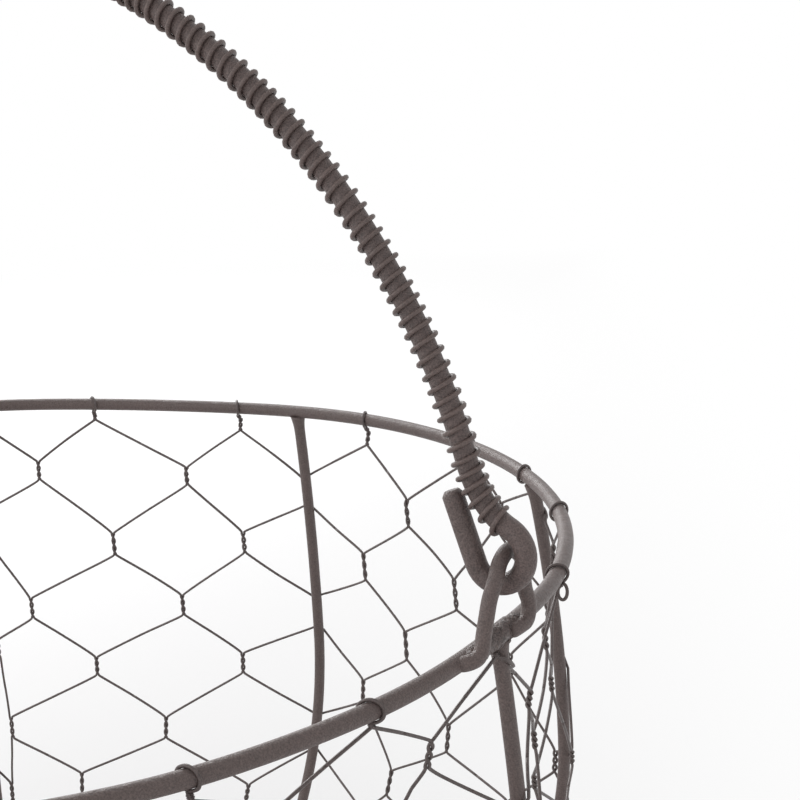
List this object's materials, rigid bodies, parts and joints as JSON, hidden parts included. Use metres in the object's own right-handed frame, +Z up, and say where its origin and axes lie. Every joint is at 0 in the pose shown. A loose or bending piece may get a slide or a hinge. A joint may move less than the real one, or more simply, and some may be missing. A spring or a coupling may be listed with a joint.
{
  "type": "onion basket",
  "caption": "Round open wire basket with hexagonal netting round a ribbed wire frame and an upright swinging bail handle wound with wire.",
  "frame": {"origin": "middle of the base hoop on the surface that the basket stands on", "axes": "+Z up; the two bail eyes stand at +X and -X, so the upright bail lies in the XZ plane"},
  "size_m": [0.3196, 0.3191, 0.3105],
  "materials": {
    "frame_coat": "matte fine-textured powder coat",
    "handle_coat": "matte fine-textured powder coat",
    "netting_coat": "satin coat on thin wire"
  },
  "bodies": {
    "basket": {"rim_ring": "frame_coat", "base_ring": "frame_coat", "rib_1": "frame_coat", "rib_2": "frame_coat", "rib_3": "frame_coat", "rib_4": "frame_coat", "rib_5": "frame_coat", "rib_6": "frame_coat", "rib_7": "frame_coat", "rib_8": "frame_coat", "bail_eye_right": "frame_coat", "bail_eye_left": "frame_coat", "base_rod_long": "frame_coat", "base_rod_short_1": "frame_coat", "base_rod_short_2": "frame_coat", "wall_netting": "netting_coat", "base_netting": "netting_coat"},
    "bail": {"bail_rod": "handle_coat", "bail_coil": "handle_coat"}
  },
  "joints": [
    {"name": "bail_swing", "type": "hinge", "parent": "basket", "child": "bail", "pos_m": [0, 0, 0.16959], "axis": [1, 0, 0], "range_deg": [-100, 100]}
  ]
}
